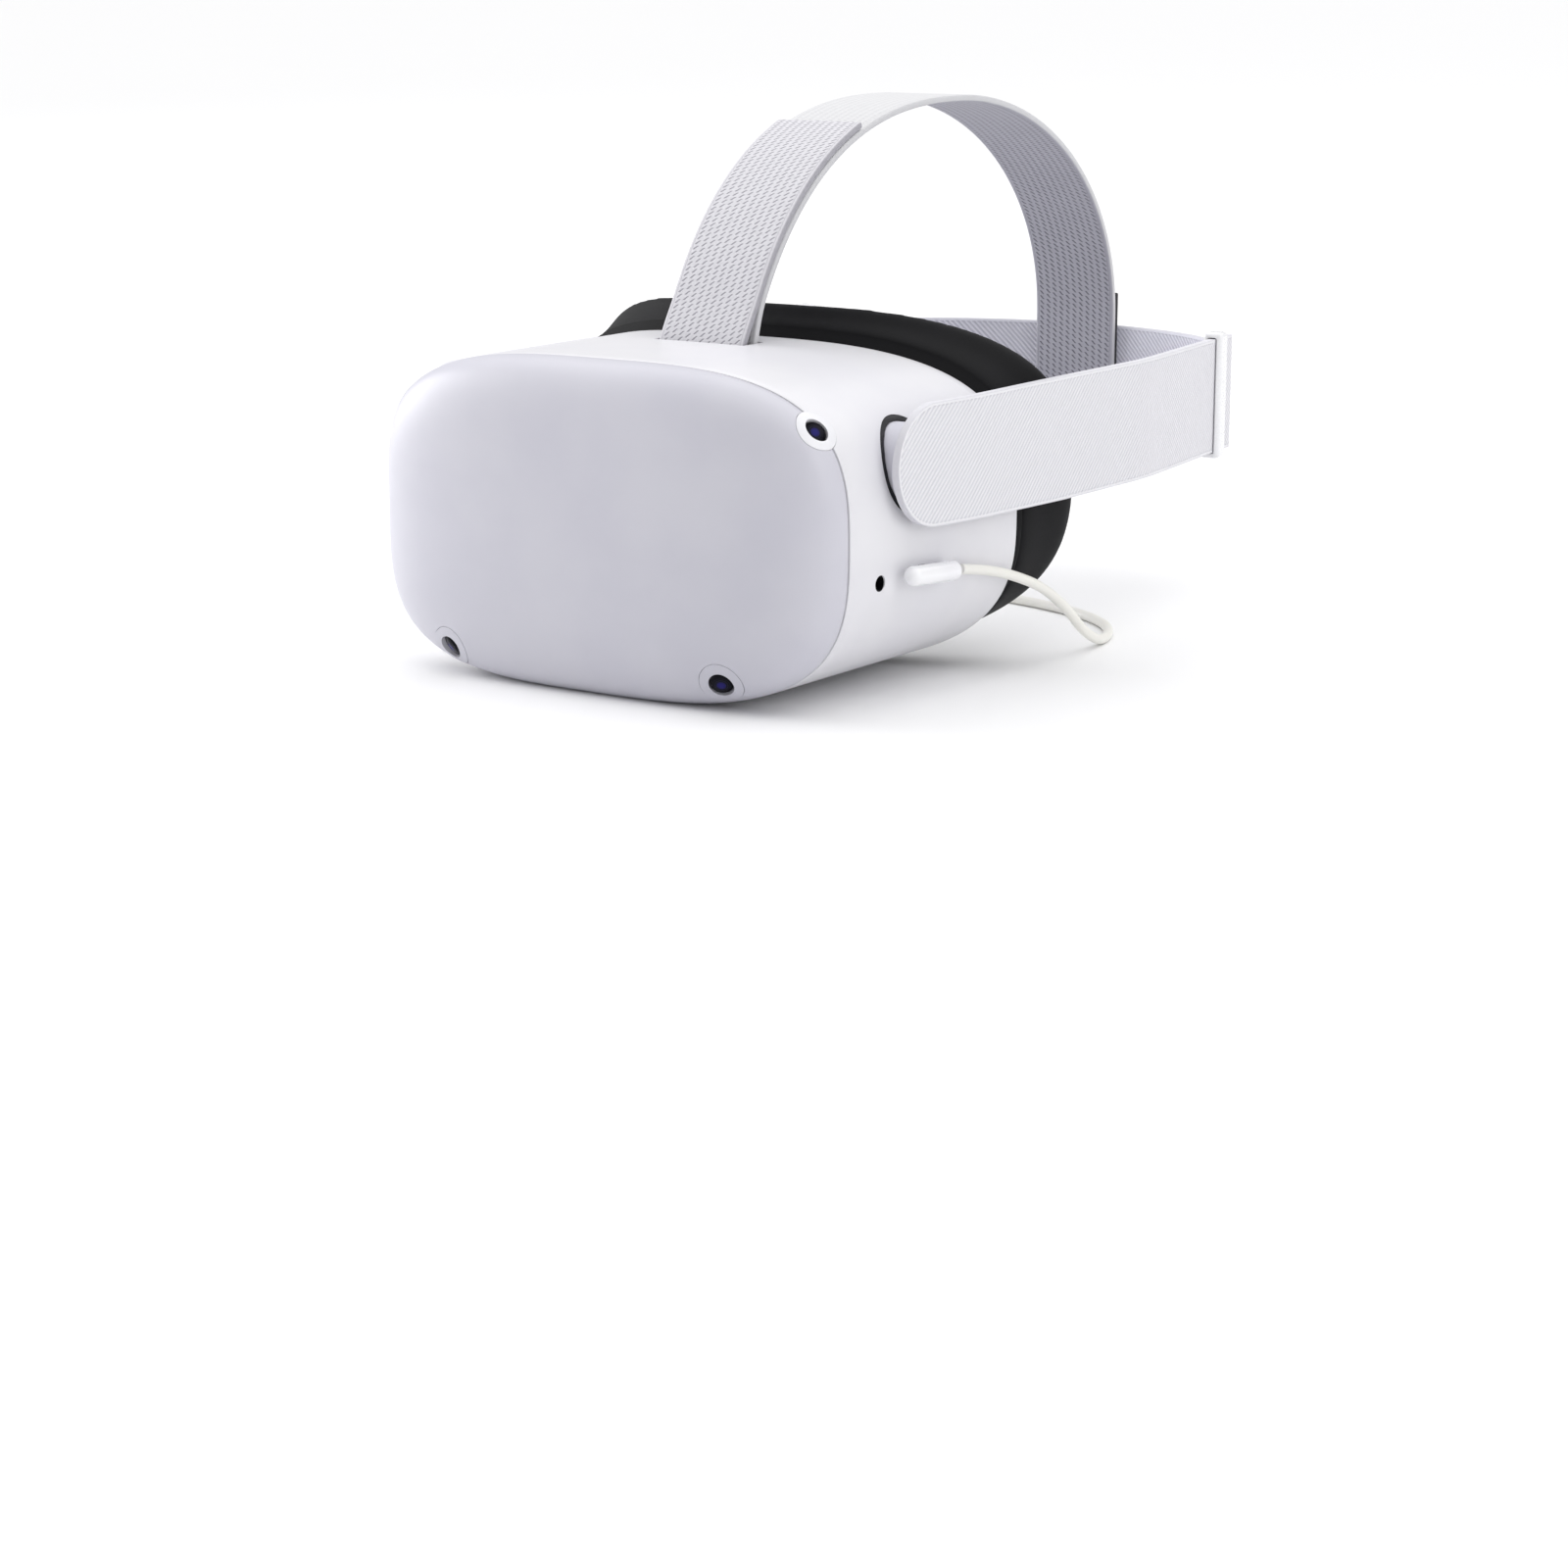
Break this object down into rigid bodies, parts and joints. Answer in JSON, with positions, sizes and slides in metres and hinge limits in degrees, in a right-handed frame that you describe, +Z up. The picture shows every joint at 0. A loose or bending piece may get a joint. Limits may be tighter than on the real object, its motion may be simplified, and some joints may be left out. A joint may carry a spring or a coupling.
{
  "type": "vr headset",
  "caption": "Head-worn viewer with a rounded white visor, corner cameras, dark face cushion, tilting side straps, rear strap, folded top strap and a plugged-in cord.",
  "frame": {"origin": "centre of the visor's flat base, midway between its sides", "axes": "-Y is the way the front cover faces, +X is the wearer's left, +Z is up and the base faces -Z"},
  "size_m": [0.1773, 0.2913, 0.1609],
  "materials": {
    "cover_white": "smooth matte white moulding",
    "housing_white": "satin white moulding",
    "dark_plastic": "fine-textured black moulding",
    "bezel_grey": "satin pale grey ring",
    "camera_black": "gloss black",
    "camera_glass": "coated dark glass",
    "lens_clear": "clear ridged lens",
    "panel_black": "switched-off display",
    "board_green": "solder mask",
    "spreader_metal": "bare finned sheet",
    "battery_wrap": "film-wrapped pack",
    "steel": "plain steel",
    "cushion_foam": "fine knit over soft foam",
    "nose_rubber": "soft thin rubber",
    "arm_grey": "lavender-grey moulding",
    "strap_white": "white twill webbing",
    "strap_grey": "pale grey ribbed webbing",
    "slider_white": "smooth white bar",
    "keeper_black": "black woven tab",
    "cord_white": "soft white sheath"
  },
  "bodies": {
    "visor": {"front_cover": "cover_white", "main_housing": "housing_white", "rear_frame": "dark_plastic", "screws": "steel", "proximity_sensor": "camera_black", "left_upper_bezel": "bezel_grey", "right_upper_bezel": "bezel_grey", "left_lower_bezel": "bezel_grey", "right_lower_bezel": "bezel_grey", "left_upper_camera": "camera_black", "right_upper_camera": "camera_black", "left_lower_camera": "camera_black", "right_lower_camera": "camera_black", "left_upper_camera_lens": "camera_glass", "right_upper_camera_lens": "camera_glass", "left_lower_camera_lens": "camera_glass", "right_lower_camera_lens": "camera_glass", "display_panel": "panel_black", "main_board": "board_green", "heat_spreader": "spreader_metal", "battery": "battery_wrap", "fan_housing": "dark_plastic", "left_speaker": "dark_plastic", "right_speaker": "dark_plastic", "usb_port": "steel", "audio_jack": "dark_plastic", "lens_rails": "steel", "left_arm_well": "dark_plastic", "right_arm_well": "dark_plastic", "left_pivot_pin": "steel", "right_pivot_pin": "steel", "top_anchor": "housing_white", "charge_plug": "cord_white", "charge_cord": "cord_white", "charge_coil": "cord_white", "charge_far_plug": "cord_white"},
    "head_strap": {"left_arm": "arm_grey", "right_arm": "arm_grey", "left_side_strap": "strap_white", "right_side_strap": "strap_white", "rear_strap": "strap_grey", "rear_keeper": "keeper_black", "top_strap": "strap_white", "strap_tail": "strap_grey"},
    "left_lens_carrier": {"left_lens_barrel": "dark_plastic", "left_lens": "lens_clear"},
    "right_lens_carrier": {"right_lens_barrel": "dark_plastic", "right_lens": "lens_clear"},
    "face_interface": {"interface_frame": "dark_plastic", "face_cushion": "cushion_foam", "nose_flap": "nose_rubber"},
    "power_button": {"power_button": "housing_white"},
    "volume_rocker": {"volume_rocker": "housing_white"},
    "fan_rotor": {"fan_rotor": "dark_plastic"},
    "left_slider": {"left_slider": "slider_white"},
    "right_slider": {"right_slider": "slider_white"}
  },
  "joints": [
    {"name": "strap_tilt", "type": "hinge", "parent": "visor", "child": "head_strap", "pos_m": [0, 0.001, 0.0662], "axis": [1, 0, 0], "range_deg": [-8, 20], "deforming": ["top_strap", "strap_tail"]},
    {"name": "left_lens_slide", "type": "slide", "parent": "visor", "child": "left_lens_carrier", "axis": [1, 0, 0], "range_m": [-0.0025, 0.0025]},
    {"name": "right_lens_slide", "type": "slide", "parent": "visor", "child": "right_lens_carrier", "axis": [1, 0, 0], "range_m": [-0.0025, 0.0025]},
    {"name": "face_interface_pull", "type": "slide", "parent": "visor", "child": "face_interface", "axis": [0, 1, 0], "range_m": [0, 0.035]},
    {"name": "power_button_press", "type": "slide", "parent": "visor", "child": "power_button", "axis": [1, 0, 0], "range_m": [0, 0.0008], "stiffness_N_per_m": 900},
    {"name": "volume_rocker_tilt", "type": "hinge", "parent": "visor", "child": "volume_rocker", "pos_m": [0.036, 0.004, 0.0056], "axis": [0, 1, 0], "range_deg": [-3, 3], "stiffness_Nm_per_rad": 0.5},
    {"name": "fan_spin", "type": "hinge", "parent": "visor", "child": "fan_rotor", "pos_m": [0.03, -0.031, 0.05], "axis": [0, 1, 0], "continuous": true},
    {"name": "left_slider_slide", "type": "slide", "parent": "head_strap", "child": "left_slider", "axis": [0.1305, -0.9914, 0], "range_m": [0, 0.035]},
    {"name": "right_slider_slide", "type": "slide", "parent": "head_strap", "child": "right_slider", "axis": [-0.1305, -0.9914, 0], "range_m": [0, 0.035]}
  ],
  "couplings": [
    {"joint": "right_lens_slide", "follows": "left_lens_slide", "ratio": -1}
  ]
}
